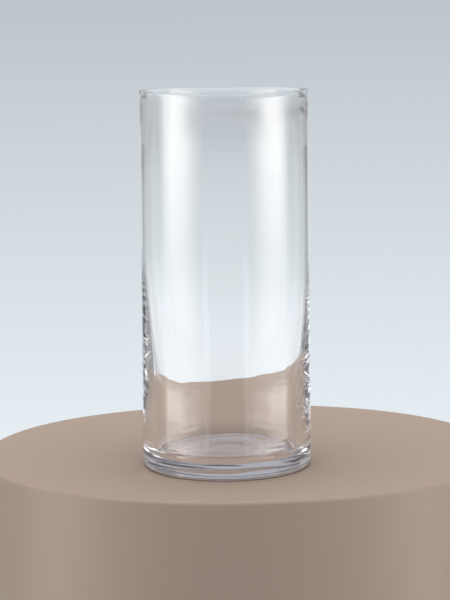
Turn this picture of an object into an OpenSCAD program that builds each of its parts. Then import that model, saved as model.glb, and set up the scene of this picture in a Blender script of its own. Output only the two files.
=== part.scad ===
// Glass cylinder vase
// A tall clear vase for cut flowers, blown in one piece. The wall is thick at
// the lip, thinnest above half height, and thickens again down to a heavy base.
// The origin is on the table under the middle of the base, and +Z points up.

/* [Body] */
// Height from the table to the top of the lip
vase_h = 270; // [200:5:360]
// Outside diameter at the lip
lip_d = 120; // [100:1:180]
// How much wider the outside is at the foot than at the lip
foot_flare = 2.6; // [0:0.2:6]

/* [Wall] */
// Wall thickness at the lip
lip_wall = 5; // [3:0.1:7]
// Wall thickness where the wall is thinnest
thin_wall = 1.6; // [1.2:0.1:3]
// Wall thickness just above the floor
foot_wall = 10.5; // [5:0.1:12]

/* [Mouth] */
// Height of the straight band inside the mouth, below the edge of the lip
mouth_band_h = 6; // [2:0.5:15]
// Rounding of the two edges of the flat-cut lip
lip_round = 0.3; // [0.2:0.1:1.4]

/* [Base] */
// Thickness of the glass between the floor and the table
base_t = 10; // [6:0.5:16]
// Radius of the curve where the wall meets the floor
floor_fillet = 7; // [2:0.5:12]
// Rounding of the outside bottom edge
heel_round = 5.5; // [1:0.5:8]
// Width of the flat ring that the vase stands on
foot_ring_w = 12.8; // [3:0.2:20]
// Rise of the shallow hollow under the base, at its middle
hollow_rise = 0.35; // [0.2:0.05:2.5]

/* [Hidden] */

// Steps along the long curves of the wall, and along each small rounding
wall_steps = 36;
round_steps = 8;

lip_r = lip_d / 2;
foot_r = lip_r + foot_flare / 2;

// Heights where one stretch of the inside wall hands over to the next
lip_edge_z = vase_h - lip_round;
band_z = lip_edge_z - mouth_band_h;
fillet_z = base_t + floor_fillet;

// The lip's extra thickness fades over this depth below the mouth band, after
// a short soft start. The foot's extra thickness starts at this height, and a
// skew above 1 keeps more of it low down
lip_fade = 22;
lip_fade_start = 1;
foot_fade_top = 0.62 * vase_h;
foot_fade_skew = 1.3;

// The outside widens towards the foot faster than a straight taper would
flare_power = 1.8;

// The mouth's straight band, and the hollow under the base inside its flat ring
mouth_r = outer_r(band_z) - lip_wall;
hollow_r = foot_r - heel_round - foot_ring_w;

// A soft step: 0 at u = 0 and 1 at u = 1, level at both ends
function soft_step(u) = let (c = min(max(u, 0), 1)) c * c * (3 - 2 * c);

// A value from first to last, at step i of the given number of steps
function at_step(first, last, i, steps) = first + (last - first) * i / steps;

// Outside radius at height z
function outer_r(z) = lip_r + foot_flare / 2 * pow(1 - z / vase_h, flare_power);

// Share of the lip's extra thickness that is left at depth d below the band
function lip_share(d) = exp(-d * d / (lip_fade * (d + lip_fade_start)));

// Share of the foot's extra thickness that is reached at height z
function foot_share(z) =
    soft_step(pow(max(foot_fade_top - z, 0) / (foot_fade_top - fillet_z), foot_fade_skew));

// Wall thickness at height z, between the floor's fillet and the mouth band
function wall_t(z) =
    thin_wall
    + (lip_wall - thin_wall) * lip_share(max(band_z - z, 0))
    + (foot_wall - thin_wall) * foot_share(z);

// Inside radius at height z, between the floor's fillet and the mouth band
function inner_r(z) = outer_r(z) - wall_t(z);

// Points of an arc of radius r about [cx, cz], from angle a0 to angle a1
function arc(cx, cz, r, a0, a1) =
    [for (i = [0 : round_steps]) let (a = at_step(a0, a1, i, round_steps)) [cx + r * cos(a), cz + r * sin(a)]];

// Underside: the hollow, from the axis out to the ring that stands on the table
hollow_line =
    [for (i = [0 : round_steps]) let (u = i / round_steps) [hollow_r * u, hollow_rise * (1 - u * u)]];

// Outside: the rounded heel, the long wall and the outer edge of the lip
heel_line = arc(outer_r(heel_round) - heel_round, heel_round, heel_round, -90, 0);
outside_line =
    [for (i = [1 : wall_steps]) let (z = at_step(heel_round, lip_edge_z, i, wall_steps)) [outer_r(z), z]];
lip_line = concat(
    arc(outer_r(lip_edge_z) - lip_round, lip_edge_z, lip_round, 0, 90),
    arc(mouth_r + lip_round, lip_edge_z, lip_round, 90, 180)
);

// Inside: the wall from the mouth band down, the fillet and the flat floor
inside_line =
    [for (i = [0 : wall_steps]) let (z = at_step(band_z, fillet_z, i, wall_steps)) [inner_r(z), z]];
fillet_line = arc(inner_r(fillet_z) - floor_fillet, fillet_z, floor_fillet, 0, -90);

module vase() {
    color("lightcyan", 0.45)
    rotate_extrude($fn = 128)
    polygon(concat(hollow_line, heel_line, outside_line, lip_line, inside_line, fillet_line, [[0, base_t]]));
}

vase();
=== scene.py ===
import math

import bpy
from mathutils import Matrix, Vector, noise


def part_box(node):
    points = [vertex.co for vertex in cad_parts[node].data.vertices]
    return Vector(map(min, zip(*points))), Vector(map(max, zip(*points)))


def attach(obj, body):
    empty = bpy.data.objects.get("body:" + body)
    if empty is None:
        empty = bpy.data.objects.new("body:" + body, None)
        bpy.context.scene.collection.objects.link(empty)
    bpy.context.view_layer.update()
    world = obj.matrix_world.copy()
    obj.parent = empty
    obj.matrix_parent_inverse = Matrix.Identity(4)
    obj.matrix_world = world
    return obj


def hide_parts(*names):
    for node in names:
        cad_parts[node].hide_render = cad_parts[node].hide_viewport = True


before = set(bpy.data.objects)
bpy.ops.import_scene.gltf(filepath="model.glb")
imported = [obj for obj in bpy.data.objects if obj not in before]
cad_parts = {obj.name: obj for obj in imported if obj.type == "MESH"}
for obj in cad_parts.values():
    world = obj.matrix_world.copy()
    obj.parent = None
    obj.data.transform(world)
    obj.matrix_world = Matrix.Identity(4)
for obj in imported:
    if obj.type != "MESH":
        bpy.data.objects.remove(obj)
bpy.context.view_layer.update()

# A clear blown-glass cylinder vase on a plain floor, in metres. The front is towards -Y.

MM = 0.001

# ---- Sizes ------------------------------------------------------------------

# The height and the foot's radius come from the frame, and the rest repeats the CAD's dimensions
vase_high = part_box("vase")[1]
VASE_H = vase_high[2]
FOOT_R = vase_high[0]

LIP_R = 60 * MM
LIP_WALL = 5.0 * MM
THIN_WALL = 1.6 * MM
FOOT_WALL = 10.5 * MM
MOUTH_BAND_H = 6 * MM
LIP_ROUND = 0.3 * MM
BASE_T = 10 * MM
FLOOR_FILLET = 7 * MM
HEEL_ROUND = 5.5 * MM
FOOT_RING_W = 12.8 * MM
HOLLOW_RISE = 0.35 * MM
LIP_FADE = 22 * MM
LIP_FADE_START = 1 * MM
FLARE_POWER = 1.8

LIP_EDGE_Z = VASE_H - LIP_ROUND
BAND_Z = LIP_EDGE_Z - MOUTH_BAND_H
FILLET_Z = BASE_T + FLOOR_FILLET
FOOT_FADE_TOP = 0.62 * VASE_H
FOOT_FADE_SKEW = 1.3
HOLLOW_R = FOOT_R - HEEL_ROUND - FOOT_RING_W

# Points round the vase, and rows of the mesh along each stretch of its profile
AROUND = 256
UNDER_ROWS = 36
RING_ROWS = 5
HEEL_ROWS = 14
LOW_OUT_ROWS = 64
HIGH_OUT_ROWS = 40
LIP_ROWS = 6
LIP_TOP_ROWS = 4
HIGH_IN_ROWS = 44
LOW_IN_ROWS = 100
FILLET_ROWS = 14
FLOOR_ROWS = 38

# Below these heights the rows are closer, outside and inside, to hold the glass's waves
LOW_OUT_Z = 34 * MM
LOW_IN_Z = 95 * MM


# ---- Profile ----------------------------------------------------------------

def clamp(u):
    return min(max(u, 0.0), 1.0)


def soft_step(u):
    """0 up to u = 0 and 1 from u = 1, with a smooth rise between them."""
    c = clamp(u)
    return c * c * (3 - 2 * c)


def between(pairs, x):
    """The value at x on a soft line through (x, value) pairs, which are in rising order."""
    for (x0, v0), (x1, v1) in zip(pairs, pairs[1:]):
        if x <= x1:
            return v0 + (v1 - v0) * soft_step((x - x0) / (x1 - x0))
    return pairs[-1][1]


def outer_r(z):
    return LIP_R + (FOOT_R - LIP_R) * max(1 - z / VASE_H, 0) ** FLARE_POWER


def lip_share(d):
    """Share of the lip's extra thickness that is left at depth d below the mouth band."""
    return math.exp(-d * d / (LIP_FADE * (d + LIP_FADE_START)))


def foot_share(z):
    """Share of the foot's extra thickness that is reached at height z."""
    down = max(FOOT_FADE_TOP - z, 0) / (FOOT_FADE_TOP - FILLET_Z)
    return soft_step(down ** FOOT_FADE_SKEW)


def wall_t(z):
    lip_extra = (LIP_WALL - THIN_WALL) * lip_share(max(BAND_Z - z, 0))
    foot_extra = (FOOT_WALL - THIN_WALL) * foot_share(z)
    return THIN_WALL + lip_extra + foot_extra


def inner_r(z):
    return outer_r(z) - wall_t(z)


def steps(first, last, count):
    return [first + (last - first) * i / count for i in range(count + 1)]


def arc(cx, cz, r, a0, a1, count):
    """Points (radius, height) of an arc about (cx, cz), from angle a0 to a1 in degrees."""
    angles = [math.radians(a) for a in steps(a0, a1, count)]
    return [(cx + r * math.cos(a), cz + r * math.sin(a)) for a in angles]


def profile():
    """Points from the underside's middle, up the outside, over the lip and down to the floor's middle."""
    lip_out = outer_r(LIP_EDGE_Z) - LIP_ROUND
    lip_in = inner_r(BAND_Z) + LIP_ROUND
    heel_c = outer_r(HEEL_ROUND) - HEEL_ROUND
    fillet_c = inner_r(FILLET_Z) - FLOOR_FILLET

    under = [(HOLLOW_R * u, HOLLOW_RISE * (1 - u * u)) for u in steps(0, 1, UNDER_ROWS)]
    ring = [(r, 0.0) for r in steps(HOLLOW_R, heel_c, RING_ROWS)[1:-1]]
    heel = arc(heel_c, HEEL_ROUND, HEEL_ROUND, -90, 0, HEEL_ROWS)
    low_out = steps(HEEL_ROUND, LOW_OUT_Z, LOW_OUT_ROWS)[1:]
    high_out = steps(LOW_OUT_Z, LIP_EDGE_Z, HIGH_OUT_ROWS)[1:]
    outside = [(outer_r(z), z) for z in low_out + high_out]

    lip = arc(lip_out, LIP_EDGE_Z, LIP_ROUND, 0, 90, LIP_ROWS)[1:]
    lip += [(r, VASE_H) for r in steps(lip_out, lip_in, LIP_TOP_ROWS)[1:-1]]
    lip += arc(lip_in, LIP_EDGE_Z, LIP_ROUND, 90, 180, LIP_ROWS)

    high_in = steps(LIP_EDGE_Z, LOW_IN_Z, HIGH_IN_ROWS)[1:]
    low_in = steps(LOW_IN_Z, FILLET_Z, LOW_IN_ROWS)[1:]
    inside = [(inner_r(z), z) for z in high_in + low_in]
    fillet = arc(fillet_c, FILLET_Z, FLOOR_FILLET, 0, -90, FILLET_ROWS)[1:]
    floor = [(fillet_c * u, BASE_T) for u in steps(1, 0, FLOOR_ROWS)[1:]]
    return under + ring + heel + outside + lip + inside + fillet + floor


# ---- Mesh -------------------------------------------------------------------

def way_round(k, count):
    """The angle of step k, where count equal steps go once round."""
    return 2 * math.pi * k / count


def mesh_object(name, verts, faces, material, smooth=False):
    mesh = bpy.data.meshes.new(name)
    mesh.from_pydata(verts, [], faces)
    mesh.polygons.foreach_set("use_smooth", [smooth] * len(mesh.polygons))
    mesh.materials.append(material)
    mesh.update()
    piece = bpy.data.objects.new(name, mesh)
    bpy.context.collection.objects.link(piece)
    return piece


def lathe(name, line, shift, material):
    """A closed turned piece. The line starts and ends on the axis, and shift moves each point."""
    last = len(line) - 1
    verts = [shift(Vector((0, 0, line[0][1])))]
    for r, z in line[1:last]:
        for k in range(AROUND):
            a = way_round(k, AROUND)
            verts.append(shift(Vector((r * math.cos(a), r * math.sin(a), z))))
    verts.append(shift(Vector((0, 0, line[last][1]))))
    end = len(verts) - 1

    def at(i, k):
        return 1 + (i - 1) * AROUND + k % AROUND

    faces = []
    for k in range(AROUND):
        faces.append((0, at(1, k + 1), at(1, k)))
        faces.append((end, at(last - 1, k), at(last - 1, k + 1)))
    for i in range(1, last - 1):
        for k in range(AROUND):
            faces.append((at(i, k), at(i, k + 1), at(i + 1, k + 1), at(i + 1, k)))
    return mesh_object(name, verts, faces, material, smooth=True)


# ---- Glass ------------------------------------------------------------------

# The colour that light keeps inside the glass, and how strongly the rest is absorbed, to a metre
GLASS_TINT = (0.86, 0.86, 0.885, 1)
GLASS_DENSITY = 12.0

# Fine ripples in the surface: waves to a metre along X, Y and Z, and their height
RIPPLES = (50, 50, 240)
RIPPLE_H = 0.012 * MM

# Smudges: how many to a metre, the noise values where one starts and is full, and its roughness
SMUDGES = 34.0
SMUDGE_FROM = 0.5
SMUDGE_TO = 0.8
SMUDGE_ROUGHNESS = 0.02


def glass_material():
    mat = bpy.data.materials.new("clear_glass")
    mat.use_nodes = True
    nodes, links = mat.node_tree.nodes, mat.node_tree.links
    shader = nodes["Principled BSDF"]
    shader.inputs["Base Color"].default_value = (1, 1, 1, 1)
    shader.inputs["Transmission Weight"].default_value = 1.0
    shader.inputs["IOR"].default_value = 1.5
    absorb = nodes.new("ShaderNodeVolumeAbsorption")
    absorb.inputs["Color"].default_value = GLASS_TINT
    absorb.inputs["Density"].default_value = GLASS_DENSITY
    links.new(absorb.outputs[0], nodes["Material Output"].inputs["Volume"])
    coord = nodes.new("ShaderNodeTexCoord")

    # slight draw lines and ripples left by the blowing
    stretch = nodes.new("ShaderNodeMapping")
    stretch.inputs["Scale"].default_value = RIPPLES
    links.new(coord.outputs["Object"], stretch.inputs["Vector"])
    ripple = nodes.new("ShaderNodeTexNoise")
    ripple.inputs["Scale"].default_value = 1.0
    ripple.inputs["Detail"].default_value = 1.0
    links.new(stretch.outputs[0], ripple.inputs["Vector"])
    bump = nodes.new("ShaderNodeBump")
    bump.inputs["Strength"].default_value = 1.0
    bump.inputs["Distance"].default_value = RIPPLE_H
    links.new(ripple.outputs["Fac"], bump.inputs["Height"])
    links.new(bump.outputs[0], shader.inputs["Normal"])

    # faint smudges, with polished glass between them
    smudge = nodes.new("ShaderNodeTexNoise")
    smudge.inputs["Scale"].default_value = SMUDGES
    smudge.inputs["Detail"].default_value = 3.0
    links.new(coord.outputs["Object"], smudge.inputs["Vector"])
    polish = nodes.new("ShaderNodeMapRange")
    polish.inputs["From Min"].default_value = SMUDGE_FROM
    polish.inputs["From Max"].default_value = SMUDGE_TO
    polish.inputs["To Max"].default_value = SMUDGE_ROUGHNESS
    links.new(smudge.outputs["Fac"], polish.inputs["Value"])
    links.new(polish.outputs[0], shader.inputs["Roughness"])
    return mat


# How far the inside leans to the right, in mm, at each height in metres
LEAN = ((0.02, -0.3), (0.058, 0.42), (0.10, 0.58), (0.16, 0.15), (0.25, 0.05), (0.262, -0.5))

# A point belongs wholly to the inside when it is this far under the outside surface, and this
# much higher than the height INSIDE_Z
INSIDE_DEPTH = 1.2 * MM
INSIDE_Z = 5 * MM
INSIDE_FADE = 4 * MM

# The wall's waves start this far above the floor's height and from the axis, the floor's waves
# move what is this close to its height, and the underside's waves what is below UNDER_TOP
NEAR = 1 * MM
UNDER_TOP = 3 * MM

# How far the waves in the wall stand out: broad ones outside and inside, and on the inside also
# turned rings and short strokes, which fade over a stretch FADE that ends at the height TOP
OUT_WAVE = 0.02 * MM
IN_WAVE = 0.03 * MM
RING_WAVE = 0.008 * MM
RING_TOP = 95 * MM
RING_FADE = 50 * MM
STROKE_WAVE = 0.03 * MM
STROKE_TOP = 46 * MM
STROKE_FADE = 14 * MM

# The broad waves are weaker towards the lip: from what height, over what stretch, by what share
CALM_Z = 200 * MM
CALM_FADE = 50 * MM
CALM_SHARE = 0.7

# Waves in the floor and the underside, which fade out towards the radius FLAT_R
BASE_WAVE = 0.03 * MM
BASE_RISE = 0.6
TURN_WAVE = 0.03 * MM
FLAT_R = 46.5 * MM
FLAT_FADE = 6 * MM

# Ripples outside the base and round the heel, on what is less than HEEL_DEPTH inside the outline
HEEL_WAVE = 0.12 * MM
HEEL_WAVE_TOP = 32 * MM
HEEL_WAVE_FADE = 20 * MM
HEEL_DEPTH = 8 * MM

# The lip's uneven cut: how far it is raised, tips up to the front and bows up to both sides,
# and the height where that starts in the wall and the stretch that it takes
CUT_RISE = 0.95 * MM
CUT_TILT = 0.6 * MM
CUT_BOW = 0.55 * MM
CUT_Z = 240 * MM
CUT_FADE = 30 * MM


def wave(p, across, up, seed=0.0):
    """Smooth noise at a point, with about so many waves to a metre across the vase and up it."""
    return noise.noise(Vector((p.x * across, p.y * across, p.z * up + seed)))


def wall_wave(p, inward):
    """How far the wall's surface stands out, where inward is 0 outside and 1 inside."""
    broad = wave(p, across=22, up=14) * (1 - CALM_SHARE * soft_step((p.z - CALM_Z) / CALM_FADE))
    rings = wave(p, across=16, up=300) * soft_step((RING_TOP - p.z) / RING_FADE)
    strokes = wave(p, across=40, up=260, seed=3) * soft_step((STROKE_TOP - p.z) / STROKE_FADE)
    start = soft_step((p.z - BASE_T - NEAR) / FLOOR_FILLET)
    inside = IN_WAVE * broad + RING_WAVE * rings + STROKE_WAVE * strokes
    return start * (inward * inside + (1 - inward) * OUT_WAVE * broad)


def flat_wave(p, r):
    """How far the floor or the underside is raised."""
    bump = noise.noise(Vector((p.x * 55, p.y * 70, 3 + p.z * 20)))
    # rings, because the noise changes fast with the radius
    turned = wave(p, across=14, up=300, seed=5 + r * 190)
    away = soft_step((FLAT_R - r) / FLAT_FADE)
    return (BASE_WAVE * (bump + BASE_RISE) + TURN_WAVE * turned) * away


def heel_wave(p):
    """How far the outside of the base stands out."""
    return HEEL_WAVE * wave(p, across=25, up=420) * soft_step((HEEL_WAVE_TOP - p.z) / HEEL_WAVE_FADE)


def lip_cut(p):
    """How far the lip's cut is raised, which is most at both sides and least at the back."""
    a = math.atan2(p.y, p.x)
    rise = CUT_RISE - CUT_TILT * math.sin(a) + CUT_BOW * math.cos(2 * a)
    return rise * soft_step((p.z - CUT_Z) / CUT_FADE)


def blown(p):
    """A point of the turned shape, moved a little, as hand-blown glass is never quite true."""
    r = math.hypot(p.x, p.y)
    depth = outer_r(p.z) - r
    inward = clamp(depth / INSIDE_DEPTH) * clamp((p.z - INSIDE_Z) / INSIDE_FADE)
    lean = between(LEAN, p.z) * MM * inward
    side = Vector((p.x, p.y, 0)) / max(r, 1e-6)
    out = Vector((0, 0, 0))
    if r > NEAR and p.z > BASE_T + NEAR:
        out += side * wall_wave(p, inward)
    elif p.z < UNDER_TOP or BASE_T - NEAR < p.z < BASE_T + NEAR:
        out += Vector((0, 0, 1)) * flat_wave(p, r)
    if r > HOLLOW_R and depth < HEEL_DEPTH and p.z < HEEL_WAVE_TOP:
        out += side * heel_wave(p)
    return p + Vector((lean, 0, lip_cut(p))) + out


vase = lathe("glass_vase", profile(), blown, glass_material())
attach(vase, "root")
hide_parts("vase")


# ---- Floor ------------------------------------------------------------------

FLOOR_R = 0.220
FLOOR_T = 0.30
FLOOR_ROUND = 3 * MM
FLOOR_ROUND_ROWS = 8
FLOOR_AROUND = 160
FLOOR_AT = (0.015, 0, -0.05 * MM)
FLOOR_COLOUR = (0.31, 0.236, 0.186, 1)
FLOOR_ROUGHNESS = 0.45

# The floor's edge is nearer at the front: by this share of its radius, round this bearing in
# degrees, and less and less up to this many degrees to each side of it
FLOOR_CUT = 0.45
FLOOR_CUT_AT = -85
FLOOR_CUT_HALF = 150


def floor_share(a):
    """The floor's radius at angle a, as a share of its full radius."""
    off = (math.degrees(a) - FLOOR_CUT_AT + 180) % 360 - 180
    if abs(off) > FLOOR_CUT_HALF:
        return 1.0
    return 1 - FLOOR_CUT * (1 + math.cos(math.pi * off / FLOOR_CUT_HALF)) / 2


def floor_material():
    mat = bpy.data.materials.new("floor")
    mat.use_nodes = True
    shader = mat.node_tree.nodes["Principled BSDF"]
    shader.inputs["Base Color"].default_value = FLOOR_COLOUR
    shader.inputs["Roughness"].default_value = FLOOR_ROUGHNESS
    return mat


def round_floor():
    """A thick slab with its top at height 0, an upright side and a rounded top edge."""
    edge = arc(FLOOR_R - FLOOR_ROUND, -FLOOR_ROUND, FLOOR_ROUND, 0, 90, FLOOR_ROUND_ROWS)
    line = [(FLOOR_R, -FLOOR_T)] + edge
    verts = []
    for r, z in line:
        for k in range(FLOOR_AROUND):
            a = way_round(k, FLOOR_AROUND)
            reach = r * floor_share(a)
            verts.append((reach * math.cos(a), reach * math.sin(a), z))
    faces = []
    for i in range(len(line) - 1):
        low, high = i * FLOOR_AROUND, (i + 1) * FLOOR_AROUND
        for k in range(FLOOR_AROUND):
            k1 = (k + 1) % FLOOR_AROUND
            faces.append((low + k, low + k1, high + k1, high + k))
    top = (len(line) - 1) * FLOOR_AROUND
    faces.append(tuple(range(top, top + FLOOR_AROUND)))
    faces.append(tuple(reversed(range(FLOOR_AROUND))))
    floor = mesh_object("floor", verts, faces, floor_material())
    floor.location = FLOOR_AT


round_floor()


# ---- Lights -----------------------------------------------------------------

def light_material(name, tint, strength=1.0):
    """A material of plain light, and its emission node."""
    mat = bpy.data.materials.new(name)
    mat.use_nodes = True
    nodes, links = mat.node_tree.nodes, mat.node_tree.links
    nodes.remove(nodes["Principled BSDF"])
    emit = nodes.new("ShaderNodeEmission")
    emit.inputs["Color"].default_value = (*tint, 1)
    emit.inputs["Strength"].default_value = strength
    links.new(emit.outputs[0], nodes["Material Output"].inputs["Surface"])
    return mat, emit


def only_mirrored(mat, emit):
    """Let a light show where the glass mirrors it, and not straight through the glass."""
    nodes, links = mat.node_tree.nodes, mat.node_tree.links
    clear = nodes.new("ShaderNodeBsdfTransparent")
    path = nodes.new("ShaderNodeLightPath")
    mirrored = nodes.new("ShaderNodeMixShader")
    links.new(path.outputs["Glossy Depth"], mirrored.inputs["Fac"])
    links.new(clear.outputs[0], mirrored.inputs[1])
    links.new(emit.outputs[0], mirrored.inputs[2])
    links.new(mirrored.outputs[0], nodes["Material Output"].inputs["Surface"])


def stage_light(piece, seen_by):
    """Hide a light from the camera and from all but the named kinds of ray."""
    piece.visible_camera = False
    piece.visible_shadow = False
    piece.visible_volume_scatter = False
    piece.visible_glossy = "glossy" in seen_by
    piece.visible_transmission = "transmission" in seen_by
    piece.visible_diffuse = "diffuse" in seen_by


PANEL_R = 1.3
PANEL_ACROSS = 40
PANEL_UP = 60


def panel(name, side, glow, rise, tint, seen_by):
    """
    An upright curved panel round the vase, on its right (side 1) or left (side -1). Glow lists
    (bearing, strength), bearings being degrees from straight behind, and rise lists (height,
    share of that strength).
    """
    verts, faces, values = [], [], []
    for bearing in steps(glow[0][0], glow[-1][0], PANEL_ACROSS):
        a = math.radians(bearing) * side
        for height in steps(rise[0][0], rise[-1][0], PANEL_UP):
            verts.append((PANEL_R * math.sin(a), PANEL_R * math.cos(a), height))
            values.append(between(glow, bearing) * between(rise, height))
    for k in range(PANEL_ACROSS):
        for j in range(PANEL_UP):
            v = k * (PANEL_UP + 1) + j
            faces.append((v, v + 1, v + PANEL_UP + 2, v + PANEL_UP + 1))
    mat, emit = light_material(name, tint)
    strength = mat.node_tree.nodes.new("ShaderNodeAttribute")
    strength.attribute_name = "glow"
    mat.node_tree.links.new(strength.outputs["Fac"], emit.inputs["Strength"])
    if seen_by == ("transmission",):
        only_mirrored(mat, emit)
    piece = mesh_object(name, verts, faces, mat)
    layer = piece.data.attributes.new("glow", "FLOAT", "POINT")
    layer.data.foreach_set("value", values)
    stage_light(piece, seen_by)


def disc_light(name, radius, height, around, tint, strength, seen_by):
    """A level disc of light on the vase's axis."""
    turn = [way_round(k, around) for k in range(around)]
    verts = [(radius * math.cos(a), radius * math.sin(a), height) for a in turn]
    mat, _ = light_material(name, tint, strength)
    stage_light(mesh_object(name, verts, [tuple(range(around))], mat), seen_by)


WHITE = (1.0, 1.0, 1.0)
WARM = (1.0, 0.97, 0.93)
GREY = (0.96, 0.98, 1.0)
# painted light: the colour of the lit floor under the base, given off by the glowing disc there
LIT_FLOOR_GLOW = (0.41, 0.31, 0.26)

# Strength of each kind of panel by its bearing, and the share of it by height
SOFT_GLOW = ((81, 0.9), (96, 3.8), (112, 3.8), (152, 0.8))
SOFT_RISE = ((-0.148, 0.35), (-0.1, 0.35), (0.0, 0.65), (0.09, 0.85), (0.16, 1.35), (0.3, 1.5))
LOW_GLOW = ((81, 0.5), (87, 0.7), (97, 3.9), (112, 3.9), (132, 1.3), (152, 0.35))
LOW_RISE = ((-0.5, 1.0), (-0.21, 1.0), (-0.19, 1.6), (-0.172, 1.6), (-0.148, 0.35))
INNER_GLOW = ((86, 1.1), (94, 2.5), (112, 2.5), (146, 0.8))
INNER_RISE = ((-0.5, 0.4), (-0.1, 0.4), (0.0, 0.7), (0.09, 0.95), (0.2, 1.25), (0.36, 1.25))
HIGH_GLOW = ((86, 1.1), (94, 2.5), (112, 2.5), (128, 1.0))
HIGH_RISE = ((0.36, 1.25), (0.75, 1.25))
CARD_RISE = ((-0.9, 1.0), (0.1, 1.0), (0.19, 0.7), (0.25, 0.7))
FAR_GLOW = ((45, 0.45), (84, 0.45))
FAR_RISE = ((-0.9, 1.0), (1.3, 1.0))
FRONT_GLOW = ((154, 1.0), (206, 1.0))
FRONT_RISE = ((-1.2, 0.04), (-0.13, 0.04), (-0.01, 0.8))

for side, word, edge in ((1, "right", 0.3), (-1, "left", 0.4)):
    # big soft lights, brightest at the side and fading towards the camera, and their low ends
    panel(word + "_softbox", side, SOFT_GLOW, SOFT_RISE, WARM, ("glossy", "diffuse"))
    panel(word + "_low_light", side, LOW_GLOW, LOW_RISE, WARM, ("glossy",))
    # what rays find that leave the glass after a reflection inside it
    panel(word + "_inner_light", side, INNER_GLOW, INNER_RISE, WARM, ("transmission",))
    panel(word + "_high_light", side, HIGH_GLOW, HIGH_RISE, WARM, ("transmission",))
    # dim cards that draw the glass's edges
    card_glow = ((20, 0.75), (28, edge), (45, edge))
    panel(word + "_card", side, card_glow, CARD_RISE, GREY, ("glossy", "transmission"))
    panel(word + "_far_card", side, FAR_GLOW, FAR_RISE, GREY, ("glossy",))

# a dim card on the camera's side, so that the low part of the glass reflects less
panel("front_card", 1, FRONT_GLOW, FRONT_RISE, GREY, ("glossy", "transmission"))

# a light overhead, for the floor only
disc_light("top_light", radius=1.0, height=1.5, around=48, tint=WHITE, strength=4.4, seen_by=("diffuse",))

# painted light: a dim glowing disc under the base, in the lit floor's colour, which stands in for the
# light that the floor gets through the glass above it; only rays off or through the glass see it
disc_light("painted_floor_light", radius=60 * MM, height=-0.03 * MM, around=64, tint=LIT_FLOOR_GLOW, strength=1.0,
           seen_by=("glossy", "transmission"))


# ---- Backdrop ---------------------------------------------------------------

# Colour of the surroundings at each angle above the horizon, in degrees. At the photo's angle
# the camera sees the part below -1 degree. The rest lights the floor and shows in the glass.
SKY = (
    (-25, (0.93, 0.98, 1.02)),
    (-14.7, (0.871, 0.93, 0.973)),
    (-8.56, (0.70, 0.765, 0.80)),
    (-1, (0.515, 0.558, 0.59)),
    (6, (0.49, 0.52, 0.55)),
    (13, (0.50, 0.495, 0.53)),
    (15.5, (0.08, 0.075, 0.08)),
    (19, (0.05, 0.05, 0.05)),
    (26, (0.36, 0.35, 0.37)),
    (56, (0.38, 0.37, 0.39)),
    (75, (0.50, 0.56, 0.66)),
)

# The sines of angle that the ends of the colour ramp stand for
SKY_LOW = -0.30
SKY_HIGH = 1.0


def studio_world():
    world = bpy.data.worlds.new("studio")
    world.use_nodes = True
    nodes, links = world.node_tree.nodes, world.node_tree.links
    coord = nodes.new("ShaderNodeTexCoord")
    split = nodes.new("ShaderNodeSeparateXYZ")
    along = nodes.new("ShaderNodeMapRange")
    along.inputs["From Min"].default_value = SKY_LOW
    along.inputs["From Max"].default_value = SKY_HIGH
    ramp = nodes.new("ShaderNodeValToRGB")
    links.new(coord.outputs["Generated"], split.inputs[0])
    links.new(split.outputs["Z"], along.inputs["Value"])
    links.new(along.outputs[0], ramp.inputs[0])
    links.new(ramp.outputs[0], nodes["Background"].inputs["Color"])
    stops = ramp.color_ramp.elements
    while len(stops) < len(SKY):
        stops.new(0.5)
    for stop, (angle, colour) in zip(stops, SKY):
        stop.position = (math.sin(math.radians(angle)) - SKY_LOW) / (SKY_HIGH - SKY_LOW)
        stop.color = (*colour, 1)
    return world


scene = bpy.context.scene
scene.world = studio_world()


# ---- Camera -----------------------------------------------------------------

# Where the camera is, how far it looks down and how far it is rolled, in degrees
CAMERA_AT = (-0.0005, -1.605, 0.3618)
LOOK_DOWN = 8.562
ROLL = -0.561


def photo_camera():
    data = bpy.data.cameras.new("camera")
    data.sensor_width = 36
    data.lens = 135
    data.clip_start = 0.05
    data.clip_end = 20
    camera = bpy.data.objects.new("camera", data)
    bpy.context.collection.objects.link(camera)
    place = Matrix.Translation(CAMERA_AT)
    tilt = Matrix.Rotation(math.radians(90 - LOOK_DOWN), 4, "X")
    roll = Matrix.Rotation(math.radians(ROLL), 4, "Z")
    camera.matrix_world = place @ tilt @ roll
    return camera


scene.camera = photo_camera()
scene.view_settings.view_transform = "Standard"

# light crosses and mirrors in the glass many times before it leaves
scene.cycles.max_bounces = 64
scene.cycles.transmission_bounces = 64
scene.cycles.glossy_bounces = 64
scene.cycles.diffuse_bounces = 3
scene.cycles.use_denoising = True
scene.cycles.sample_clamp_indirect = 8
